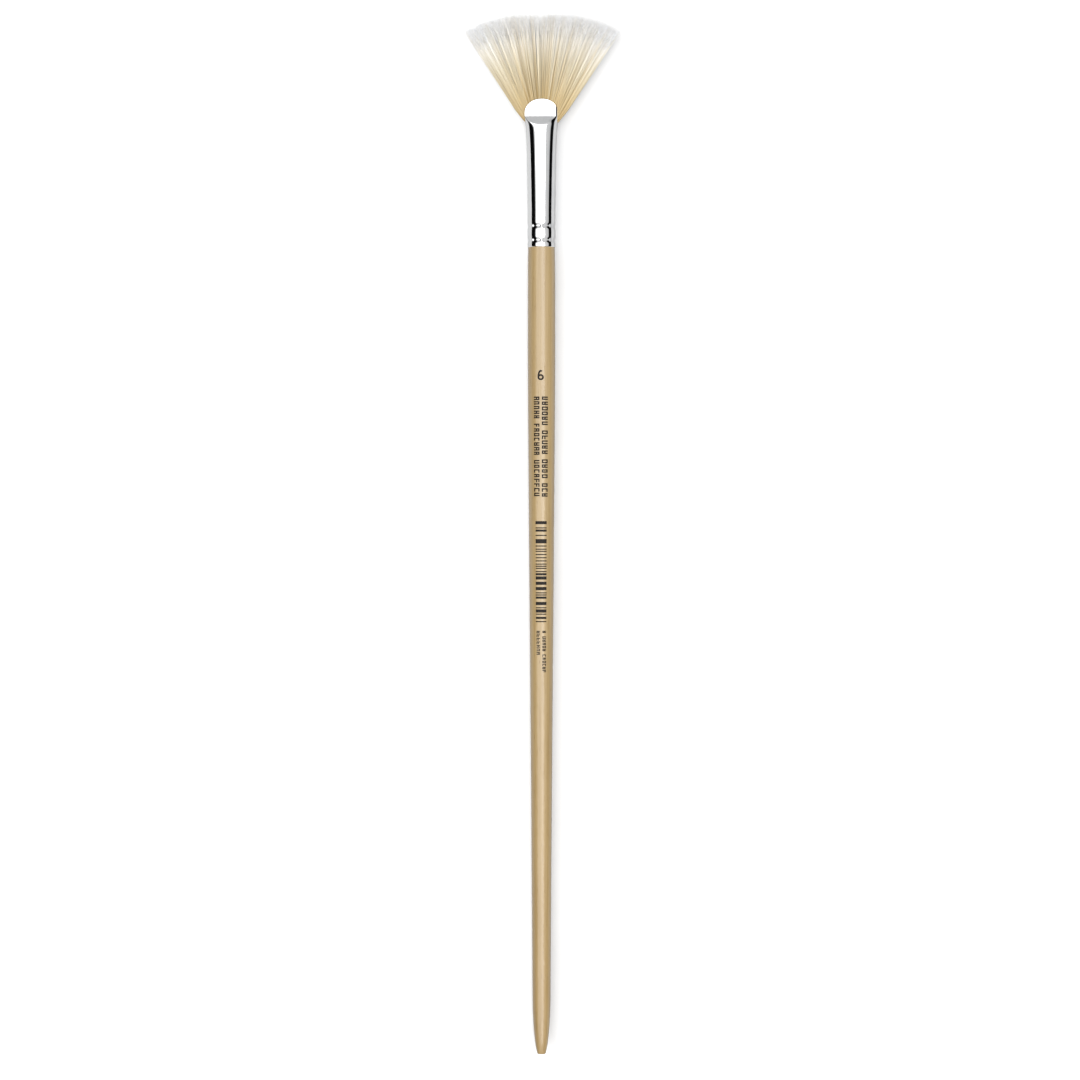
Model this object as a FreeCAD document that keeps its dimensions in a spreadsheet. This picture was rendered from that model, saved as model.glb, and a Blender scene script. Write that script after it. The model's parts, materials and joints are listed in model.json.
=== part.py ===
import FreeCAD, Part

import math
import os

import Sketcher
from FreeCAD import Rotation, Vector

# A long-handled fan brush, lying flat.  Every piece is drawn on one axis: X runs from the tail of the
# handle (X = 0) to the tips of the bristles, and the fan spreads along Y.  Each piece is then placed
# so that the middle of the brush is over the origin and the ferrule's round collar touches Z = 0.

DIMENSIONS = {
    # whole brush
    "length": 323.0,
    # handle, as distances from the tail and radii
    "tail_radius": 1.2,
    "tail_bulge": 0.55,
    "nose_end": 17.0,
    "nose_radius": 2.8,
    "nose_run": 9.0,
    "taper_lead": 63.0,
    "taper_rise": 0.35,
    "taper_run": 23.0,
    "belly_start": 218.0,
    "belly_end": 240.0,
    "belly_radius": 4.27,
    "neck_run": 6.0,
    "neck_radius": 4.15,
    "tenon_radius": 3.97,
    "tenon_length": 20.0,
    # ferrule
    "ferrule_start": 250.7,
    "ferrule_radius": 4.42,
    "wall": 0.3,
    "crimp_first": 252.8,
    "crimp_second": 257.2,
    "crimp_width": 1.4,
    "crimp_depth": 0.33,
    "flare_start": 262.0,
    "flattening": 0.62,
    "mouth_widening": 1.78,
    "pinch_start": 288.5,
    "crease": 291.4,
    "lip_radius": 5.3,
    "lip_thickness": 3.0,
    "slot_start": 289.4,
    # what the ferrule holds
    "glue_start": 259.5,
    "glue_end": 270.0,
    "resin_start": 272.0,
    "resin_end": 286.0,
    "seat_gap": 0.05,
    "film_gap": 0.01,
    "film": 0.07,
    # fan of bristles
    "fan_apex": 281.3,
    "fan_angle": 33.8,
    "fan_hinge": 297.7,
    "roots_gap": 0.5,
    "locks_gap": 0.8,
    "roots_thickness": 2.3,
    "tips_thickness": 1.6,
    "corner_reach": 43.14,
}
LOCKS = 11
LOCK_SPACING = 0.25
TOOL_REACH = 12.0


def fill_sheet(doc):
    sheet = doc.addObject("Spreadsheet::Sheet", "dims")
    for row, (alias, value) in enumerate(DIMENSIONS.items(), start=1):
        sheet.set("A%d" % row, alias)
        sheet.set("B%d" % row, str(value))
        sheet.setAlias("B%d" % row, alias)
    doc.recompute()
    return sheet


def new_sketch(body, name, role, offset=None):
    """A sketch on one of the body's own planes, moved along the plane's normal by an expression."""
    plane = next(f for f in body.Origin.OriginFeatures if f.Role == role)
    sketch = body.newObject("Sketcher::SketchObject", name)
    sketch.AttachmentSupport = [(plane, "")]
    sketch.MapMode = "FlatFace"
    if offset:
        sketch.setExpression("AttachmentOffset.Base.z", offset)
    return sketch


def value_of(sketch, text):
    return float(sketch.evalExpression(text))


def bind(sketch, constraint, text):
    row = sketch.addConstraint(constraint)
    sketch.setExpression("Constraints[%d]" % row, text)


def bind_point(sketch, edge, end, across, up):
    """Hold one point of an edge at two coordinates, each an expression."""
    bind(sketch, Sketcher.Constraint("DistanceX", -1, 1, edge, end, value_of(sketch, across)), across)
    bind(sketch, Sketcher.Constraint("DistanceY", -1, 1, edge, end, value_of(sketch, up)), up)


def add_circle(sketch, across, up, radius):
    centre = Vector(value_of(sketch, across), value_of(sketch, up), 0)
    edge = sketch.addGeometry(Part.Circle(centre, Vector(0, 0, 1), value_of(sketch, radius)))
    bind_point(sketch, edge, 3, across, up)
    bind(sketch, Sketcher.Constraint("Radius", edge, value_of(sketch, radius)), radius)


def add_curve(sketch, poles):
    """A Bezier curve whose inner poles are held at their coordinates."""
    curve = Part.BSplineCurve()
    points = [Vector(value_of(sketch, x), value_of(sketch, y), 0) for x, y in poles]
    degree = len(poles) - 1
    curve.buildFromPolesMultsKnots(points, [degree + 1, degree + 1], [0.0, 1.0], False, degree)
    edge = sketch.addGeometry(curve)
    sketch.exposeInternalGeometry(edge)
    for number, (x, y) in enumerate(poles[1:-1], start=2):
        bind_point(sketch, edge + number, 3, x, y)
    return edge


def add_outline(sketch, corners, curves=None, arcs=None):
    """A closed outline through corners.  curves and arcs say which edges, counted from the corner they
    leave, are Bezier curves (with their inner poles) or arcs (with a middle point and a centre's X)."""
    curves = curves or {}
    arcs = arcs or {}
    points = [Vector(value_of(sketch, x), value_of(sketch, y), 0) for x, y in corners]
    ends = []
    for number, start in enumerate(points):
        following = (number + 1) % len(points)
        finish = points[following]
        if number in curves:
            edge = add_curve(sketch, [corners[number]] + curves[number] + [corners[following]])
        elif number in arcs:
            middle = Vector(*[value_of(sketch, text) for text in arcs[number][:2]], 0)
            edge = sketch.addGeometry(Part.Arc(start, middle, finish))
        else:
            edge = sketch.addGeometry(Part.LineSegment(start, finish))
        forward = sketch.getPoint(edge, 1).distanceToPoint(start) < 1e-6
        ends.append((edge, 1, 2) if forward else (edge, 2, 1))
    for number, (edge, first, last) in enumerate(ends):
        next_edge, next_first, _ = ends[(number + 1) % len(ends)]
        sketch.addConstraint(Sketcher.Constraint("Coincident", edge, last, next_edge, next_first))
        bind_point(sketch, edge, first, *corners[number])
        if number in arcs:
            centre = arcs[number][2]
            bind(sketch, Sketcher.Constraint("DistanceX", -1, 1, edge, 3, value_of(sketch, centre)), centre)


def add_ellipse(sketch, half_width, half_height):
    """An ellipse round the sketch's own origin, its long axis along the fan."""
    across = value_of(sketch, half_width)
    up = value_of(sketch, half_height)
    edge = sketch.addGeometry(Part.Ellipse(Vector(across, 0, 0), Vector(0, up, 0), Vector(0, 0, 0)))
    sketch.exposeInternalGeometry(edge)
    major, minor = edge + 1, edge + 2
    sketch.addConstraint(Sketcher.Constraint("Coincident", edge, 3, -1, 1))
    sketch.addConstraint(Sketcher.Constraint("Horizontal", major))
    for line, text in ((major, half_width), (minor, half_height)):
        full = "2 * (%s)" % text
        bind(sketch, Sketcher.Constraint("Distance", line, value_of(sketch, full)), full)


def revolve(body, kind, name, sketch):
    """Turn a sketch in the XY plane all the way round the brush's axis."""
    feature = body.newObject(kind, name)
    feature.Profile = sketch
    feature.ReferenceAxis = (sketch, ["H_Axis"])
    feature.Angle = 360.0
    return feature


def cut_through(body, name, sketch):
    pocket = body.newObject("PartDesign::Pocket", name)
    pocket.Profile = sketch
    pocket.Type = "ThroughAll"
    pocket.Midplane = True
    return pocket


def add_crimps(body, inset):
    """Two shallow rounded grooves.  Inside the wall they are the same grooves, moved in by inset."""
    round_up = "(dims.crimp_width ^ 2 / 4 + dims.crimp_depth ^ 2) / (2 * dims.crimp_depth)"
    sketch = new_sketch(body, body.Name + "_crimp_rounds", "XY_Plane")
    centre = "dims.ferrule_radius - dims.crimp_depth + %s" % round_up
    for place in ("dims.crimp_first", "dims.crimp_second"):
        add_circle(sketch, place, centre, "%s + %s" % (round_up, inset))
    revolve(body, "PartDesign::Groove", body.Name + "_crimps", sketch)


def make_handle(doc):
    """Turned wooden handle: rounded tail, long taper, parallel belly, neck and crimped tenon."""
    body = doc.addObject("PartDesign::Body", "handle")
    outline = new_sketch(body, "handle_outline", "XY_Plane")
    tenon_end = "dims.ferrule_start + dims.tenon_length"
    corners = [
        ("0", "0"),
        ("0", "dims.tail_radius"),
        ("dims.nose_end", "dims.nose_radius"),
        ("dims.belly_start", "dims.belly_radius"),
        ("dims.belly_end", "dims.belly_radius"),
        ("dims.ferrule_start", "dims.neck_radius"),
        ("dims.ferrule_start", "dims.tenon_radius"),
        (tenon_end, "dims.tenon_radius"),
        (tenon_end, "0"),
    ]
    slope = "dims.taper_rise / dims.taper_lead"
    nose = [
        ("dims.tail_radius / 3", "dims.tail_radius + dims.tail_bulge"),
        ("dims.nose_end - dims.nose_run", "dims.nose_radius - dims.nose_run * " + slope),
    ]
    taper = [
        ("dims.nose_end + dims.taper_lead", "dims.nose_radius + dims.taper_rise"),
        ("dims.belly_start - dims.taper_run", "dims.belly_radius"),
    ]
    neck = [("dims.belly_end + dims.neck_run", "dims.belly_radius")]
    curves = {1: nose, 2: taper, 4: neck}
    add_outline(outline, corners, curves)
    revolve(body, "PartDesign::Revolution", "turned_wood", outline)
    doc.recompute()
    add_crimps(body, "dims.wall + dims.seat_gap")
    return body


def make_envelope(doc, name, inset, start):
    """The ferrule's outside, or with an inset the room inside it: a round collar that widens into a
    flat oval, with two slanting facets that pinch it down to the flat mouth."""
    body = doc.addObject("PartDesign::Body", name)
    round_end = new_sketch(body, name + "_round", "YZ_Plane", start)
    add_circle(round_end, "0", "0", "dims.ferrule_radius - %s" % inset)
    collar = body.newObject("PartDesign::Pad", name + "_collar")
    collar.Profile = round_end
    collar.setExpression("Length", "dims.flare_start - (%s)" % start)
    flare = new_sketch(body, name + "_flare", "YZ_Plane", "dims.flare_start")
    add_circle(flare, "0", "0", "dims.ferrule_radius - %s" % inset)
    ovals = []
    step = "(dims.crease + dims.lip_radius + 1 - dims.flare_start) / 3"
    growth = (
        ("0.07 * dims.mouth_widening", "0.26 * dims.flattening"),
        ("0.24 * dims.mouth_widening", "0.84 * dims.flattening"),
        ("dims.mouth_widening", "dims.flattening"),
    )
    for number, (widening, flattening) in enumerate(growth, start=1):
        place = "dims.flare_start + %d * %s" % (number, step)
        oval = new_sketch(body, "%s_oval_%d" % (name, number), "YZ_Plane", place)
        half_width = "dims.ferrule_radius + %s - %s" % (widening, inset)
        half_height = "dims.ferrule_radius - %s - %s" % (flattening, inset)
        add_ellipse(oval, half_width, half_height)
        ovals.append(oval)
    barrel = body.newObject("PartDesign::AdditiveLoft", name + "_barrel")
    barrel.Profile = flare
    barrel.Sections = ovals
    doc.recompute()
    add_crimps(body, inset)
    sides = new_sketch(body, name + "_pinch_sides", "XZ_Plane")
    shoulder = "dims.ferrule_radius - dims.flattening"
    slope = "(%s - dims.lip_thickness / 2) / (dims.crease - dims.pinch_start)" % shoulder
    clear = "(%s - %s + %s * %s)" % (shoulder, inset, TOOL_REACH, slope)
    mouth = "(dims.lip_thickness / 2 - %s)" % inset
    far = "dims.crease + %s" % TOOL_REACH
    for side in ("", "-1 * "):
        corners = [
            ("dims.pinch_start - %s" % TOOL_REACH, side + clear),
            ("dims.crease", side + mouth),
            (far, side + mouth),
            (far, side + clear),
        ]
        add_outline(sides, corners)
    cut_through(body, name + "_pinch", sides)
    return body


def make_ferrule(doc, inner):
    """Seamless metal tube, its mouth two rounded plates with the sides open between them."""
    outer = make_envelope(doc, "ferrule_outside", "0", "dims.ferrule_start")
    plates = new_sketch(outer, "plate_outline", "XY_Plane")
    far = "dims.crease + %s" % TOOL_REACH
    corners = [
        ("dims.crease", "%s" % TOOL_REACH),
        (far, "%s" % TOOL_REACH),
        (far, "-%s" % TOOL_REACH),
        ("dims.crease", "-%s" % TOOL_REACH),
        ("dims.crease", "-dims.lip_radius"),
        ("dims.crease", "dims.lip_radius"),
    ]
    add_outline(plates, corners, arcs={4: ("dims.crease + dims.lip_radius", "0", "dims.crease")})
    cut_through(outer, "plate_rounding", plates)
    slot = new_sketch(outer, "slot_outline", "XZ_Plane")
    half_gap = "(dims.lip_thickness / 2 - dims.wall)"
    corners = [
        ("dims.slot_start", "-1 * " + half_gap),
        ("dims.slot_start", half_gap),
        (far, half_gap),
        (far, "-1 * " + half_gap),
    ]
    add_outline(slot, corners)
    cut_through(outer, "side_slots", slot)
    ferrule = doc.addObject("Part::Cut", "ferrule")
    ferrule.Base = outer
    ferrule.Tool = inner
    return ferrule


def make_glue(doc):
    """Film of adhesive between the smooth part of the tenon and the ferrule."""
    body = doc.addObject("PartDesign::Body", "handle_glue")
    sketch = new_sketch(body, "glue_rings", "YZ_Plane", "dims.glue_start")
    add_circle(sketch, "0", "0", "dims.tenon_radius + dims.film_gap + dims.film")
    add_circle(sketch, "0", "0", "dims.tenon_radius + dims.film_gap")
    film = body.newObject("PartDesign::Pad", "glue_film")
    film.Profile = sketch
    film.setExpression("Length", "dims.glue_end - dims.glue_start")
    return body


def make_length(doc, name, start, end):
    """A round bar along the axis, wide enough to hold the ferrule, that picks out one stretch of it."""
    bar = doc.addObject("Part::Cylinder", name)
    bar.Radius = TOOL_REACH
    bar.setExpression("Height", "%s - (%s)" % (end, start))
    bar.Placement.Rotation = Rotation(Vector(0, 1, 0), 90)
    bar.setExpression("Placement.Base.x", start)
    return bar


def make_resin(doc, room):
    """Resin cast round the root ends of the bristles inside the ferrule."""
    resin = doc.addObject("Part::Common", "root_resin")
    resin.Base = room
    resin.Tool = make_length(doc, "resin_length", "dims.resin_start", "dims.resin_end")
    return resin


def make_roots(doc, room):
    """The gripped part of the bristles: pinched in the ferrule, then fanning out of the mouth."""
    gripped = doc.addObject("Part::Common", "roots_in_ferrule")
    gripped.Base = room
    grip_end = "(dims.slot_start + dims.roots_gap)"
    gripped.Tool = make_length(doc, "roots_length", "dims.resin_end + dims.seat_gap", grip_end)
    fanned = doc.addObject("PartDesign::Body", "roots_in_mouth")
    sketch = new_sketch(fanned, "roots_outline", "XY_Plane")
    mouth_end = "(dims.fan_hinge - dims.roots_gap)"
    edge = "(%s - dims.fan_apex) * tan(dims.fan_angle)"
    corners = [
        (grip_end, "-1 * " + edge % grip_end),
        (mouth_end, "-1 * " + edge % mouth_end),
        (mouth_end, edge % mouth_end),
        (grip_end, edge % grip_end),
    ]
    add_outline(sketch, corners)
    slab = fanned.newObject("PartDesign::Pad", "roots_slab")
    slab.Profile = sketch
    slab.Midplane = True
    slab.setExpression("Length", "dims.roots_thickness")
    roots = doc.addObject("Part::Fuse", "bristle_roots")
    roots.Base = gripped
    roots.Tool = fanned
    return roots


def make_lock(doc, sheet, number):
    """One lock of bristles, a flat wedge that points away from the fan's apex and thins to its tips."""
    share = 2.0 * number / (LOCKS - 1) - 1.0
    half_angle = sheet.fan_angle / LOCKS
    direction = share * (sheet.fan_angle - half_angle)
    lock = doc.addObject("Part::Wedge", "bristle_lock_%02d" % (number + 1))
    outer_edge = abs(direction) + half_angle
    root = "(dims.fan_hinge + dims.locks_gap - dims.fan_apex) / cos(%r)" % outer_edge
    tips = "dims.length - dims.fan_apex"
    reach = "%s + (dims.corner_reach - (%s)) * %r" % (tips, tips, abs(share) ** 3)
    spread = math.tan(math.radians(half_angle))
    faces = (("X", "Z", root, "dims.roots_thickness"), ("X2", "Z2", reach, "dims.tips_thickness"))
    for across, through, distance, thickness in faces:
        half_width = "((%s) * %r - %r)" % (distance, spread, LOCK_SPACING / 2)
        lock.setExpression(across + "min", "-1 * " + half_width)
        lock.setExpression(across + "max", half_width)
        lock.setExpression(through + "min", "-%s / 2" % thickness)
        lock.setExpression(through + "max", "%s / 2" % thickness)
    lock.setExpression("Ymin", root)
    lock.setExpression("Ymax", reach)
    lock.Placement.Rotation = Rotation(Vector(0, 0, 1), direction - 90.0)
    return lock


def check(doc, pieces):
    for item in doc.Objects:
        if "Invalid" in item.State or "Error" in item.State:
            raise RuntimeError("%s failed: %s" % (item.Name, item.State))
    for piece in pieces:
        if piece.Shape.isNull() or not piece.Shape.isValid() or not piece.Shape.Solids:
            raise RuntimeError("%s has no valid solid" % piece.Label)


def main():
    doc = FreeCAD.newDocument("fan_brush")
    sheet = fill_sheet(doc)
    space = make_envelope(doc, "ferrule_inside", "dims.wall", "dims.ferrule_start - 1")
    room = make_envelope(doc, "filling", "(dims.wall + dims.seat_gap)", "dims.ferrule_start")
    on_axis = [
        make_handle(doc),
        make_ferrule(doc, space),
        make_glue(doc),
        make_resin(doc, room),
        make_roots(doc, room),
    ]
    locks = [make_lock(doc, sheet, number) for number in range(LOCKS)]
    for piece in on_axis:
        piece.setExpression("Placement.Base.x", "-dims.length / 2")
    for piece in locks:
        piece.setExpression("Placement.Base.x", "dims.fan_apex - dims.length / 2")
    pieces = on_axis + locks
    for piece in pieces:
        piece.setExpression("Placement.Base.z", "dims.ferrule_radius")
        piece.Label = piece.Name
    doc.recompute()
    check(doc, pieces)
    os.makedirs("parts", exist_ok=True)
    for piece in pieces:
        piece.Shape.exportStep("parts/%s.step" % piece.Label)
        box = piece.Shape.optimalBoundingBox(False)
        print("%-16s solids %d  volume %9.2f  x %8.2f %8.2f  y %7.2f %7.2f  z %6.2f %6.2f" % (
            piece.Label, len(piece.Shape.Solids), piece.Shape.Volume,
            box.XMin, box.XMax, box.YMin, box.YMax, box.ZMin, box.ZMax))


main()
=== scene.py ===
import json
import math

import bpy
import numpy as np
from mathutils import Matrix, Vector
from mathutils.bvhtree import BVHTree


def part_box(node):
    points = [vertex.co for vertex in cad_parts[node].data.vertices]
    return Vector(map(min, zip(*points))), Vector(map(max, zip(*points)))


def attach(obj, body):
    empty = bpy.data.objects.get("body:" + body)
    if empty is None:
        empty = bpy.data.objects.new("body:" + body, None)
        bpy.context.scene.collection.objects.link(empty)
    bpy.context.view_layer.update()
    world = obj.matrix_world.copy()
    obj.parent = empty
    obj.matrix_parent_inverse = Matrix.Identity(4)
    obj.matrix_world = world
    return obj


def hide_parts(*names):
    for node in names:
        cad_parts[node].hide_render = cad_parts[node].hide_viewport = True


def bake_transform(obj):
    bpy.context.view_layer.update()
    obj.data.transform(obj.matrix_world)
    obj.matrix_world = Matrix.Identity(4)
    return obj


# A long-handled fan brush lying flat on a pale table, seen from straight above.
# +X runs from the tail of the handle to the tips of the bristles, and the fan spreads along Y.

MM = 0.001
RNG = np.random.default_rng(6)

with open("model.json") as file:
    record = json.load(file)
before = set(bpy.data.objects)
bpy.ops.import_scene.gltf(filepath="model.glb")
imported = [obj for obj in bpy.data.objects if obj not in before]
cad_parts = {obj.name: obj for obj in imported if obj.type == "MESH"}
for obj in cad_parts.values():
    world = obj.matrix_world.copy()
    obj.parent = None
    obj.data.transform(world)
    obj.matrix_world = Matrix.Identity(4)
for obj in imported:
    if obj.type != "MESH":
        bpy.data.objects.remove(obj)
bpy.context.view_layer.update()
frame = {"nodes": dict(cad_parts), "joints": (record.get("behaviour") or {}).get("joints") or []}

FERRULE_LOW, FERRULE_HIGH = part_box("ferrule")
HINGE = Vector(frame["joints"][0]["pos_m"])
AXIS_Z = HINGE.z
TAIL_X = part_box("handle")[0].x
FERRULE_X = FERRULE_LOW.x
LIP_X = FERRULE_HIGH.x
TIP_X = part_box("bristle_lock_06")[1].x
LOCK_NODES = sorted(name for name in frame["nodes"] if name.startswith("bristle_lock"))


# ---------------------------------------------------------------- camera

def make_camera():
    """Straight above, image up along +X.  The frame is as wide as the brush is long, and a little more."""
    frame_width = 336.0 * MM
    lens, sensor = 100.0, 36.0
    data = bpy.data.cameras.new("camera")
    data.lens = lens
    data.sensor_width = sensor
    data.clip_start = 0.01
    camera = bpy.data.objects.new("camera", data)
    bpy.context.collection.objects.link(camera)
    middle = (TAIL_X + TIP_X) / 2
    place = Vector((middle - 1.74 * MM, 0.47 * MM, AXIS_Z + frame_width * lens / sensor))
    right, up, back = Vector((0, -1, 0)), Vector((1, 0, 0)), Vector((0, 0, 1))
    turn = Matrix((right, up, back)).transposed().to_4x4()
    camera.matrix_world = Matrix.Translation(place) @ turn
    bpy.context.scene.camera = camera
    bpy.context.scene.view_settings.view_transform = "Standard"


# ---------------------------------------------------------------- material helpers

class Nodes:
    """A short way to write a node tree: every call adds one node and links its inputs."""

    def __init__(self, name):
        self.material = bpy.data.materials.new(name)
        self.material.use_nodes = True
        self.tree = self.material.node_tree
        self.shader = self.tree.nodes["Principled BSDF"]

    def add(self, kind, settings=None, **inputs):
        node = self.tree.nodes.new(kind)
        for key, value in (settings or {}).items():
            setattr(node, key, value)
        for key, value in inputs.items():
            self.feed(node.inputs[key.replace("_", " ")], value)
        return node

    def feed(self, socket, value):
        if isinstance(value, bpy.types.NodeSocket):
            self.tree.links.new(value, socket)
        else:
            socket.default_value = value

    def set(self, **inputs):
        for key, value in inputs.items():
            self.feed(self.shader.inputs[key.replace("_", " ")], value)

    def noise(self, place, stretch, detail=3.0):
        """Noise on coordinates stretched by a factor for each axis, in features per metre."""
        mapped = self.add("ShaderNodeMapping", Vector=place, Scale=stretch)
        noise = self.add("ShaderNodeTexNoise", Vector=mapped.outputs["Vector"], Scale=1.0,
                         Detail=detail, Roughness=0.55)
        return noise.outputs["Fac"]

    def ramp(self, value, stops):
        node = self.add("ShaderNodeValToRGB", Fac=value)
        elements = node.color_ramp.elements
        while len(elements) < len(stops):
            elements.new(0.5)
        for element, (position, colour) in zip(elements, stops):
            element.position = position
            element.color = (*colour, 1.0) if len(colour) == 3 else colour
        return node.outputs["Color"]

    def mix(self, kind, share, first, second):
        node = self.add("ShaderNodeMix", {"data_type": "RGBA", "blend_type": kind})
        self.feed(node.inputs[0], share)
        self.feed(node.inputs[6], first)
        self.feed(node.inputs[7], second)
        return node.outputs[2]

    def bump(self, height, distance, strength=1.0):
        node = self.add("ShaderNodeBump", Height=height, Distance=distance, Strength=strength)
        return node.outputs["Normal"]


def grey(level):
    return (level, level, level)


# ---------------------------------------------------------------- materials

def wood_material():
    """Pale lacquered beech: long soft grain, short darker flecks, warmer towards the tail."""
    n = Nodes("lacquered_beech")
    place = n.add("ShaderNodeTexCoord").outputs["Object"]
    axes = n.add("ShaderNodeSeparateXYZ", Vector=place)
    along = n.add("ShaderNodeMapRange", Value=axes.outputs["X"], From_Min=TAIL_X, From_Max=FERRULE_X)
    base = n.ramp(along.outputs["Result"], [
        (0.0, (0.400, 0.275, 0.122)),
        (0.45, (0.405, 0.286, 0.132)),
        (1.0, (0.412, 0.296, 0.145)),
    ])
    bands = n.ramp(n.noise(place, (9.0, 420.0, 420.0), 4.0), [
        (0.30, (0.80, 0.76, 0.68)), (0.50, (1.0, 1.0, 1.0)), (0.72, (1.06, 1.06, 1.05))])
    colour = n.mix("MULTIPLY", 0.85, base, bands)
    grain = n.noise(place, (45.0, 2600.0, 2600.0))
    fibres = n.ramp(grain, [
        (0.32, (0.78, 0.73, 0.64)), (0.55, (1.0, 1.0, 1.0))])
    colour = n.mix("MULTIPLY", 0.55, colour, fibres)
    flecks = n.ramp(n.noise(place, (420.0, 5200.0, 5200.0), 1.0), [
        (0.24, (0.52, 0.42, 0.30)), (0.33, (1.0, 1.0, 1.0))])
    colour = n.mix("MULTIPLY", 0.55, colour, flecks)
    n.set(Base_Color=colour, Roughness=0.38, Coat_Weight=0.7, Coat_Roughness=0.13, Coat_IOR=1.55,
          Normal=n.bump(grain, 0.02 * MM, 0.5))
    return n.material


def metal_material():
    """Bright nickel plate: almost a mirror, with faint hairlines round the tube."""
    n = Nodes("nickel_plate")
    place = n.add("ShaderNodeTexCoord").outputs["Object"]
    cloud = n.noise(place, (180.0, 180.0, 180.0), 2.0)
    colour = n.ramp(cloud, [(0.3, (0.83, 0.84, 0.85)), (0.7, (0.90, 0.90, 0.90))])
    rough = n.add("ShaderNodeMapRange", Value=cloud, To_Min=0.045, To_Max=0.09)
    lines = n.noise(place, (9000.0, 500.0, 500.0), 2.0)
    n.set(Base_Color=colour, Metallic=1.0, Roughness=rough.outputs["Result"],
          Normal=n.bump(lines, 0.002 * MM, 0.25))
    return n.material


def bristle_material():
    """Hog bristle.  Across the map each hair has its own tone, and up the map it pales to the tip, partly as
    the hair does and partly as painted light in the white last stretch.
    """
    n = Nodes("hog_bristle")
    uv = n.add("ShaderNodeUVMap", {"uv_map": "OFBake"}).outputs["UV"]
    axes = n.add("ShaderNodeSeparateXYZ", Vector=uv)
    # Root to tip the hair pales as real flagged bristle does. The stops from 0.80 up to white at the tip are
    # also painted light: they stand in for light through the thin tips and lift the shade between the split
    # ends.
    length = n.ramp(axes.outputs["Y"], [
        (0.0, (0.485, 0.340, 0.145)),
        (0.22, (0.640, 0.505, 0.275)),
        (0.55, (0.790, 0.705, 0.520)),
        (0.80, (0.930, 0.885, 0.790)),
        (0.92, (0.990, 0.970, 0.930)),
        (1.0, (1.0, 1.0, 1.0)),
    ])
    tone = n.ramp(axes.outputs["X"], [
        (0.0, (0.46, 0.36, 0.23)),
        (0.22, (0.80, 0.72, 0.57)),
        (0.5, (0.98, 0.97, 0.94)),
        (0.8, (1.05, 1.08, 1.14)),
        (1.0, (1.18, 1.26, 1.46)),
    ])
    fade = n.add("ShaderNodeMapRange", Value=axes.outputs["Y"], From_Min=0.3, To_Min=1.0, To_Max=0.30)
    n.set(Base_Color=n.mix("MULTIPLY", fade.outputs["Result"], length, tone), Roughness=0.38)
    return n.material


def resin_material():
    n = Nodes("set_resin")
    place = n.add("ShaderNodeTexCoord").outputs["Object"]
    colour = n.ramp(n.noise(place, (900.0, 900.0, 900.0)), [
        (0.3, (0.42, 0.30, 0.14)), (0.7, (0.62, 0.48, 0.26))])
    n.set(Base_Color=colour, Roughness=0.25)
    return n.material


def ink_material():
    """Dark print, very slightly uneven where it takes to the lacquer."""
    n = Nodes("print_ink")
    place = n.add("ShaderNodeTexCoord").outputs["Object"]
    colour = n.ramp(n.noise(place, (3000.0, 3000.0, 3000.0)), [
        (0.35, (0.010, 0.008, 0.007)), (0.75, (0.030, 0.024, 0.018))])
    n.set(Base_Color=colour, Roughness=0.5, Specular_IOR_Level=0.15)
    return n.material


def floor_material():
    """A white table to look at, and a duller one in what the brush picks up from it."""
    n = Nodes("white_table")
    place = n.add("ShaderNodeTexCoord").outputs["Object"]
    seen = n.ramp(n.noise(place, (60.0, 60.0, 60.0)), [(0.3, grey(0.79)), (0.7, grey(0.81))])
    rays = n.add("ShaderNodeLightPath")
    colour = n.mix("MIX", rays.outputs["Is Camera Ray"], (*grey(0.42), 1.0), seen)
    n.set(Base_Color=colour, Roughness=0.9, Specular_IOR_Level=0.1)
    return n.material


# ---------------------------------------------------------------- mesh helpers

def new_piece(name, vertices, faces, material, smooth=True):
    mesh = bpy.data.meshes.new(name)
    mesh.from_pydata([tuple(v) for v in vertices], [], faces)
    mesh.update()
    if smooth:
        mesh.polygons.foreach_set("use_smooth", [True] * len(mesh.polygons))
    piece = bpy.data.objects.new(name, mesh)
    bpy.context.collection.objects.link(piece)
    piece.data.materials.append(material)
    return piece


def smooth_step(value):
    value = np.clip(value, 0.0, 1.0)
    return value * value * (3.0 - 2.0 * value)


# ---------------------------------------------------------------- ferrule

# Along the tube from the handle: two crimps, the start of the flare, the start of the slanting facets, the
# bottom of the side slots, and the crease where the facets meet the flat, arched plates of the mouth.
WALL = 0.3 * MM
FERRULE_R = 4.30 * MM
LIP_R = 5.3 * MM
FLATTENED = 0.20 * MM
CREASE_X = LIP_X - LIP_R
PINCH_X = CREASE_X - 2.8 * MM
SLOT_X = CREASE_X - 2.0 * MM
FLARE_X = FERRULE_X + 11.3 * MM
CRIMPS_X = (FERRULE_X + 2.1 * MM, FERRULE_X + 6.5 * MM)
MOUTH_HALF = 1.75 * MM


def crimp_depth(x, turn):
    """Two rolled grooves, each bitten by eight jaws that leave small ridges between them."""
    ridge = np.exp(-(np.sin(4.0 * turn) / 0.42) ** 2)
    depth = np.zeros_like(x + turn)
    for place in CRIMPS_X:
        tooth = 1.0 - 0.65 * ridge
        depth = depth + 0.40 * MM * tooth * np.exp(-((x - place) / (0.66 * MM)) ** 2)
    bead = np.exp(-((x - sum(CRIMPS_X) / 2) / (1.3 * MM)) ** 2)
    return depth - 0.02 * MM * bead


def section(x, turn):
    """The outline across the tube for a unit radius: a circle along the barrel, squarer at the mouth.
    The mouth is squarer on its +Y side."""
    start = PINCH_X - 1.5 * MM
    pressed = smooth_step((x - start) / (CREASE_X - start))
    power = 2.0 + pressed * np.where(np.cos(turn) > 0.0, 1.6, 0.3)
    radius = (np.abs(np.cos(turn)) ** power + np.abs(np.sin(turn)) ** power) ** (-1.0 / power)
    return radius * np.cos(turn), radius * np.sin(turn)


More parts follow.
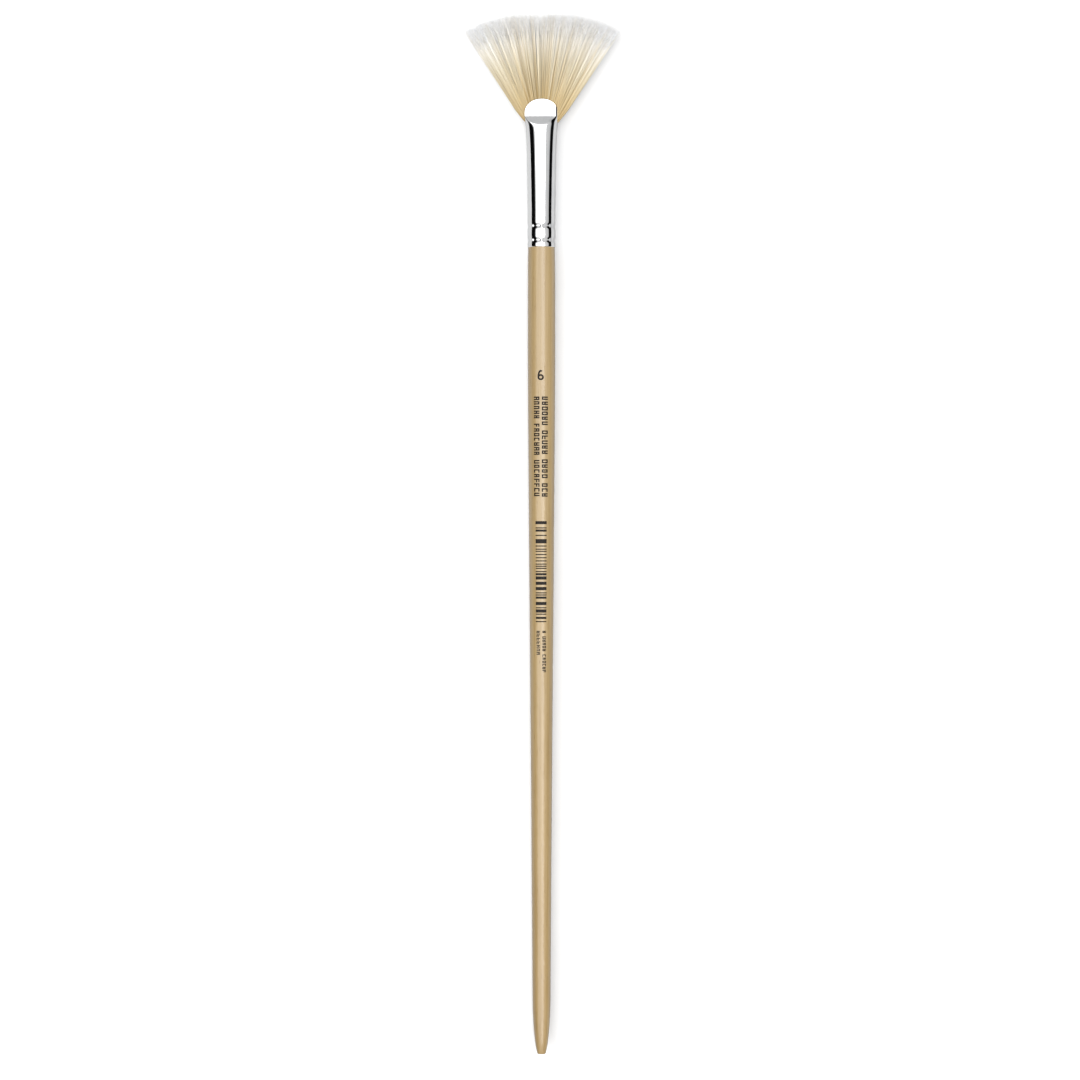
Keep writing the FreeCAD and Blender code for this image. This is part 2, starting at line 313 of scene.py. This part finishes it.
def ferrule_surface(x, turn, inset):
    """A point of the tube: round, then a little wider, then pinched between two slanting facets to the
    mouth, which is rolled over further on its -Y side."""
    grown = np.clip((x - FLARE_X) / (CREASE_X - FLARE_X), 0.0, 1.0)
    wide = FERRULE_R + (0.40 * grown + 0.60 * grown ** 6) * MM
    rolled = smooth_step(0.5 - 0.9 * np.cos(turn)) * smooth_step((x - PINCH_X) / (CREASE_X - PINCH_X))
    thick = FERRULE_R - FLATTENED * smooth_step(grown) - 1.4 * MM * rolled
    dent = crimp_depth(x, turn) + 0.10 * MM * np.exp(-((x - FERRULE_X) / (0.15 * MM)) ** 2)
    across, up = section(x, turn)
    height = (thick - inset - dent) * up
    slope = (FERRULE_R - FLATTENED - MOUTH_HALF) / (CREASE_X - PINCH_X)
    limit = MOUTH_HALF + slope * np.maximum(CREASE_X - x, 0.0) - inset
    soft = 0.11 * MM
    pinched = np.maximum(-soft * np.logaddexp(-np.abs(height) / soft, -limit / soft), 0.0)
    return (wide - inset - dent) * across, np.sign(height) * pinched


def mouth_edge(turn):
    """Where the tube ends: an arch on each plate, and a low slot at each side."""
    across, up = section(CREASE_X, turn)
    across = np.abs(across) * 0.985
    arch = CREASE_X + LIP_R * (1.0 - across ** 2.2) ** (1.0 / 2.2)
    share = smooth_step((np.abs(up) - 0.14) / 0.14)
    return SLOT_X + (arch - SLOT_X) * share


def make_ferrule(material):
    """The tube as one closed skin: up the outside, over the rim of the mouth and back down the inside."""
    around = 288
    turn = np.linspace(0.0, 2.0 * math.pi, around, endpoint=False)
    plain_end = SLOT_X - 1.6 * MM
    crimp_zone = np.linspace(FERRULE_X, FERRULE_X + 9.0 * MM, 90, endpoint=False)
    barrel = np.linspace(FERRULE_X + 9.0 * MM, plain_end, 60, endpoint=False)
    shares = np.linspace(0.0, 1.0, 60)
    rings = []

    def add_ring(x, inset, push=0.0):
        x = np.broadcast_to(x, turn.shape)
        y, z = ferrule_surface(x, turn, inset)
        rings.append(np.column_stack([x + push, y, z + AXIS_Z]))

    for x in np.concatenate([crimp_zone, barrel]):
        add_ring(x, 0.0)
    edge = mouth_edge(turn)
    for share in shares:
        add_ring(plain_end + (edge - plain_end) * share, 0.0)
    for angle in (30.0, 90.0, 150.0):
        lift = math.sin(math.radians(angle)) * WALL * 0.45
        inset = WALL * (1.0 - math.cos(math.radians(angle))) / 2.0
        add_ring(edge, inset, lift)
    for share in shares[::-2]:
        add_ring(plain_end + (edge - plain_end) * share, WALL)
    for x in np.concatenate([crimp_zone[::3], barrel[::3]])[::-1]:
        add_ring(x, WALL)
    faces = []
    for row in range(len(rings)):
        low, high = row * around, ((row + 1) % len(rings)) * around
        for column in range(around):
            following = (column + 1) % around
            faces.append((low + column, low + following, high + following, high + column))
    piece = new_piece("ferrule_tube", np.concatenate(rings), faces, material)
    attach(piece, "brush")
    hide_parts("ferrule")
    return piece


# ---------------------------------------------------------------- bristles

# The hairs fan out from an apex inside the ferrule, to one angle on the -Y side and another on the +Y side.
APEX_X = HINGE.x - 16.4 * MM
FAN_ANGLES = (math.radians(34.0), math.radians(33.3))
ROOT_X = SLOT_X - 0.4 * MM
HAIRS = 1600
HAIR_SIDES = 5
HAIR_RINGS = 8
CLUMPS = 90
TONES = 64


def tube_faces(first, sides, rings):
    """Faces of a closed tube whose vertices start at first."""
    faces = []
    for ring in range(rings - 1):
        low = first + ring * sides
        for side in range(sides):
            following = (side + 1) % sides
            faces.append((low + side, low + following, low + sides + following, low + sides + side))
    faces.append(tuple(first + side for side in range(sides))[::-1])
    top = first + (rings - 1) * sides
    faces.append(tuple(top + side for side in range(sides)))
    return faces


def add_hair(store, path, radii, tone, starts, ends, sides):
    """One tapered tube along a path.  Its map runs up from starts to ends, in one column of tone."""
    first = store["count"]
    rings = len(path)
    tangent = np.gradient(path, axis=0)
    tangent /= np.linalg.norm(tangent, axis=1)[:, None]
    across = np.cross(tangent, (0.0, 0.0, 1.0))
    across /= np.linalg.norm(across, axis=1)[:, None]
    upward = np.cross(across, tangent)
    angles = np.arange(sides) * 2.0 * math.pi / sides
    ring = across[:, None, :] * np.cos(angles)[:, None] + upward[:, None, :] * np.sin(angles)[:, None]
    points = path[:, None, :] + ring * radii[:, None, None]
    store["points"].append(points.reshape(-1, 3))
    store["faces"].extend(tube_faces(first, sides, rings))
    heights = np.repeat(np.linspace(starts, ends, rings), sides)
    shift = np.tile(np.linspace(-0.3, 0.3, sides), rings) / TONES
    store["map"].append(np.column_stack([tone + shift, heights]))
    store["count"] += rings * sides


def hair_path(reach, angle, layer, curl, lean, share):
    """Points along one hair.  It leaves the ferrule bunched together and then runs out from the apex."""
    x_end = APEX_X + reach * math.cos(angle)
    x = ROOT_X + (x_end - ROOT_X) * share
    bunch = 1.0 - 0.12 * np.exp(-(x - ROOT_X) / (0.5 * MM))
    y = (x - APEX_X) * math.tan(angle) * bunch + curl * share ** 2
    room = (1.34 - 0.64 * share) * MM
    z = layer * room + lean * share * (1.0 - 0.3 * share)
    return np.column_stack([x, y, z + AXIS_Z])


def add_flags(store, body, flag, thickness, tone):
    """The split end of one hair: two fine branches that part a little."""
    fork = body[-1]
    direction = body[-1] - body[-2]
    direction /= np.linalg.norm(direction)
    aside = np.array([-direction[1], direction[0], 0.0])
    for way in (-1.0, 1.0):
        spread = way * RNG.uniform(0.03, 0.13)
        rise = RNG.uniform(-0.08, 0.08)
        steps = np.array([-0.06, 0.5, 1.0])[:, None] * flag * RNG.uniform(0.7, 1.0)
        bend = np.array([0.0, 0.25, 1.0])[:, None] * flag
        branch = fork + steps * direction + bend * (aside * spread + np.array([0.0, 0.0, rise]))
        width = thickness * np.array([0.45, 0.32, 0.13])
        add_hair(store, branch, width, tone, 0.93, 1.0, 3)


def grow_hair(store, clumps, clump_tones):
    """One hair at a random place across the fan, from -1 to 1, drawn towards the nearest clump."""
    side = RNG.uniform(-1.0, 1.0)
    side = math.copysign(abs(side) ** 0.93, side)
    outward = abs(side)
    nearest = np.argmin(np.abs(clumps - side))
    side += (clumps[nearest] - side) * RNG.uniform(0.0, 0.6) * (1.0 - 0.75 * outward)
    angle = FAN_ANGLES[int(side > 0.0)] * side
    full = TIP_X - APEX_X + (0.3 + 3.3 * outward * (1.0 - 0.3 * outward)) * MM
    short = RNG.exponential(0.8) if RNG.random() < 0.85 else RNG.uniform(0.5, 5.0)
    reach = full - min(short, 6.0) * (1.0 - 0.6 * side ** 8) * MM - 0.1 * MM
    layer = RNG.uniform(-1.0, 1.0) * (0.35 + 0.65 * math.sqrt(1.0 - (0.93 * side) ** 2))
    curl = RNG.normal(0.0, 0.30) * MM
    if outward > 0.9:
        curl = -math.copysign(abs(curl), side) * 0.3
    lean = RNG.normal(0.0, 0.22) * MM
    mixed = 0.5 * clump_tones[nearest] + 0.5 * RNG.random()
    tone = mixed ** (1.0 / (0.8 + 1.2 * side ** 2))
    tone = (math.floor(tone * (TONES - 1)) + 0.5) / TONES
    thickness = RNG.uniform(0.075, 0.100) * MM
    split = RNG.uniform(0.82, 0.95)
    share = np.linspace(0.0, 1.0, HAIR_RINGS) ** 0.9
    body = hair_path(reach, angle, layer, curl, lean, share * split)
    add_hair(store, body, thickness * (1.0 - 0.5 * share), tone, 0.0, 0.93, HAIR_SIDES)
    add_flags(store, body, reach * (1.0 - split) * 0.9, thickness, tone)


def make_bristles(material):
    """The hair.  In the middle it gathers into locks with golden streaks; towards the sides it is paler and
    more even."""
    store = {"count": 0, "points": [], "faces": [], "map": []}
    clumps = (np.arange(CLUMPS) + RNG.uniform(0.1, 0.9, CLUMPS)) * 2.0 / CLUMPS - 1.0
    clump_tones = RNG.uniform(0.0, 1.0, CLUMPS)
    for _ in range(HAIRS):
        grow_hair(store, clumps, clump_tones)
    piece = new_piece("bristle_fan", np.concatenate(store["points"]), store["faces"], material)
    tone_map = piece.data.uv_layers.new(name="OFBake")
    corner_vertex = np.empty(len(piece.data.loops), dtype=np.int32)
    piece.data.loops.foreach_get("vertex_index", corner_vertex)
    tone_map.data.foreach_set("uv", np.concatenate(store["map"])[corner_vertex].astype(np.float32).ravel())
    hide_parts("bristle_roots", *LOCK_NODES)
    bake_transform(piece)
    return piece


# ---------------------------------------------------------------- printed marks

class Print:
    """Ink laid on the top of the handle.  Places are given along the handle and across it."""

    def __init__(self, handle):
        self.surface = BVHTree.FromObject(handle, bpy.context.evaluated_depsgraph_get())
        self.vertices = []
        self.faces = []

    def on_handle(self, along, across):
        """A point just clear of the handle, at a distance from its tail and round from its top line."""
        x = TAIL_X + along
        angle = across / (4.1 * MM)
        outward = Vector((0.0, math.sin(angle), math.cos(angle)))
        axis = Vector((x, 0.0, AXIS_Z))
        hit = self.surface.ray_cast(axis + outward * 0.02, -outward)[0]
        return hit + outward * 0.03 * MM

    def block(self, along_low, along_high, across_low, across_high):
        """A rectangle of ink, cut fine enough to follow the round of the handle."""
        rows = max(1, math.ceil((along_high - along_low) / (0.8 * MM)))
        columns = max(1, math.ceil((across_high - across_low) / (0.3 * MM)))
        first = len(self.vertices)
        for row in range(rows + 1):
            along = along_low + (along_high - along_low) * row / rows
            for column in range(columns + 1):
                across = across_low + (across_high - across_low) * column / columns
                self.vertices.append(self.on_handle(along, across))
        for row in range(rows):
            for column in range(columns):
                corner = first + row * (columns + 1) + column
                above = corner + columns + 1
                self.faces.append((corner, above, above + 1, corner + 1))

    def finish(self, name, material):
        piece = new_piece(name, self.vertices, self.faces, material)
        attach(piece, "brush")
        return piece


def make_print(handle, material):
    """The marks along the top of the handle: a number, two long lines, a block of bars and two short lines."""
    size_mark(handle, material)
    lines = Print(handle)
    greeked_line(lines, 204.2 * MM, 172.7 * MM, -1.05 * MM, 1.9 * MM, (6, 5, 4, 3))
    greeked_line(lines, 204.2 * MM, 173.0 * MM, 1.55 * MM, 1.85 * MM, (5, 7, 8))
    greeked_line(lines, 131.6 * MM, 118.5 * MM, -0.95 * MM, 1.25 * MM, (1, 5, 6))
    greeked_line(lines, 131.6 * MM, 123.9 * MM, 1.15 * MM, 1.25 * MM, (7,))
    lines.finish("print_lines", material)
    bars = Print(handle)
    place, end = 134.3 * MM, 165.6 * MM
    widths = np.random.default_rng(23)
    while place < end:
        bar = widths.choice([0.33, 0.33, 0.66, 0.99, 1.32]) * MM
        gap = widths.choice([0.33, 0.33, 0.66, 0.66, 0.99]) * MM
        bars.block(place, min(place + bar, end), -1.72 * MM, 2.02 * MM)
        place += bar + gap
    bars.finish("print_bars", material)


def greeked_line(target, start, end, across, height, words):
    """A line of print shown only as random strokes, with the run, height and weight of words."""
    pitch = (start - end) / (sum(words) + 0.8 * (len(words) - 1))
    shapes = np.random.default_rng(int(abs(across) / MM * 100) + 900)
    stroke = 0.21 * height
    place = start
    for word in words:
        for _ in range(word):
            low, high = across - height / 2, across + height / 2
            wide = pitch * shapes.uniform(0.66, 0.80)
            kind = shapes.integers(0, 3)
            target.block(place - stroke, place, low, high)
            if kind > 0:
                target.block(place - wide, place - wide + stroke, low, high)
            for bar in shapes.choice(3, 2 - kind // 2, replace=False):
                rung = low + bar * (height - stroke) / 2
                target.block(place - wide + stroke * (kind > 0), place - stroke, rung, rung + stroke)
            place -= pitch
        place -= 0.8 * pitch


def size_mark(handle, material):
    """The size number, drawn as a ring with a tail, upright when the bristles point up."""
    mark = Print(handle)
    along, across = 210.2 * MM, 0.25 * MM
    ring, stroke = 0.66 * MM, 0.54 * MM
    steps = 40
    outline = []
    for step in range(steps + 1):
        angle = 2.0 * math.pi * step / steps
        outline.append((along + ring * math.cos(angle), across + ring * 1.05 * math.sin(angle)))
    stem = []
    for step in range(17):
        angle = math.radians(118.0 * step / 16)
        stem.append((along + 1.98 * MM * math.sin(angle), across + ring * 1.05 * math.cos(angle)))
    for line in (outline, stem):
        ribbon(mark, line, stroke)
    mark.finish("print_size", material)


def ribbon(target, line, stroke):
    """A stroke of even width along a line of points."""
    line = np.array(line)
    tangent = np.gradient(line, axis=0)
    tangent /= np.linalg.norm(tangent, axis=1)[:, None]
    normal = np.column_stack([-tangent[:, 1], tangent[:, 0]])
    first = len(target.vertices)
    for point, side in zip(line, normal):
        for way in (-0.5, 0.5):
            target.vertices.append(target.on_handle(*(point + side * stroke * way)))
    for step in range(len(line) - 1):
        corner = first + 2 * step
        target.faces.append((corner, corner + 1, corner + 3, corner + 2))


# ---------------------------------------------------------------- table, lights and sky

def make_floor(material):
    half = 0.6
    corners = [(-half, -half, 0.0), (half, -half, 0.0), (half, half, 0.0), (-half, half, 0.0)]
    floor = new_piece("table", corners, [(0, 1, 2, 3)], material, smooth=False)
    return floor


def add_softbox(name, low_angle, high_angle, radiance):
    """A long level light, given by the angles from the vertical that it covers across the brush."""
    height, length = 1.4, 1.7
    low_y = height * math.tan(math.radians(low_angle))
    high_y = height * math.tan(math.radians(high_angle))
    data = bpy.data.lights.new(name, "AREA")
    data.shape = "RECTANGLE"
    data.size = length
    data.size_y = high_y - low_y
    data.energy = radiance * math.pi * length * (high_y - low_y)
    light = bpy.data.objects.new(name, data)
    light.location = (0.0, (low_y + high_y) / 2, height)
    bpy.context.collection.objects.link(light)
    return light


def make_lights(floor):
    """A softbox overhead in two halves, the -Y one brighter, and a strong wing beyond it that falls on the
    table alone, so that the shadow lies on the -Y side."""
    add_softbox("softbox_near", -27.0, 0.0, 3.5)
    add_softbox("softbox_far", 0.0, 44.0, 1.65)
    wing = add_softbox("wing", 44.0, 62.0, 9.0)
    wing.visible_glossy = False
    receivers = bpy.data.collections.new("wing_receivers")
    receivers.objects.link(floor)
    wing.light_linking.receiver_collection = receivers


def make_sky():
    """Studio surroundings by the angle to the vertical across the brush: a pale ceiling beside the softbox,
    black flags down to the table, and a slightly dimmer room towards both ends of the brush."""
    world = bpy.data.worlds.new("studio")
    bpy.context.scene.world = world
    world.use_nodes = True
    tree = world.node_tree
    tree.nodes.clear()

    def add(kind, operation=None, *inputs):
        node = tree.nodes.new(kind)
        if operation:
            node.operation = operation
        for socket, value in zip(node.inputs, inputs):
            if isinstance(value, bpy.types.NodeSocket):
                tree.links.new(value, socket)
            else:
                socket.default_value = value
        return node

    place = add("ShaderNodeTexCoord")
    axes = add("ShaderNodeSeparateXYZ", None, place.outputs["Generated"])
    angle = add("ShaderNodeMath", "ARCTAN2", axes.outputs["Y"], axes.outputs["Z"])
    share = add("ShaderNodeMath", "MULTIPLY_ADD", angle.outputs[0], 1.0 / math.pi, 0.5)
    across = ramp_of(tree, share.outputs[0], [
        (0.0, 0.003), (0.150, 0.003), (0.164, 0.55), (0.34, 0.75),
        (0.70, 0.75), (0.785, 0.60), (0.800, 0.003), (1.0, 0.003)])
    end_on = add("ShaderNodeMath", "ABSOLUTE", axes.outputs["X"])
    along = ramp_of(tree, end_on.outputs[0], [(0.0, 1.0), (0.75, 1.0), (0.93, 0.90), (1.0, 0.80)])
    level = add("ShaderNodeMath", "MULTIPLY", across, along)
    surroundings = add("ShaderNodeBackground")
    tree.links.new(level.outputs[0], surroundings.inputs["Color"])
    backdrop = add("ShaderNodeBackground")
    backdrop.inputs["Color"].default_value = (1.0, 1.0, 1.0, 1.0)
    rays = add("ShaderNodeLightPath")
    choose = add("ShaderNodeMixShader", None, rays.outputs["Is Camera Ray"],
                 surroundings.outputs["Background"], backdrop.outputs["Background"])
    output = add("ShaderNodeOutputWorld")
    tree.links.new(choose.outputs["Shader"], output.inputs["Surface"])


def ramp_of(tree, value, stops):
    """A colour ramp of greys: (position, level) pairs."""
    ramp = tree.nodes.new("ShaderNodeValToRGB")
    tree.links.new(value, ramp.inputs["Fac"])
    elements = ramp.color_ramp.elements
    while len(elements) < len(stops):
        elements.new(0.5)
    for element, (position, level) in zip(elements, stops):
        element.position = position
        element.color = (*grey(level), 1.0)
    return ramp.outputs["Color"]


# ---------------------------------------------------------------- build

def dress(node, material):
    """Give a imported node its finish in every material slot."""
    piece = frame["nodes"][node]
    for slot in piece.material_slots:
        slot.material = material
    return piece


make_camera()
make_bristles(bristle_material())
make_ferrule(metal_material())
handle = dress("handle", wood_material())
resin = resin_material()
dress("handle_glue", resin)
dress("root_resin", resin)
make_print(handle, ink_material())
make_lights(make_floor(floor_material()))
make_sky()
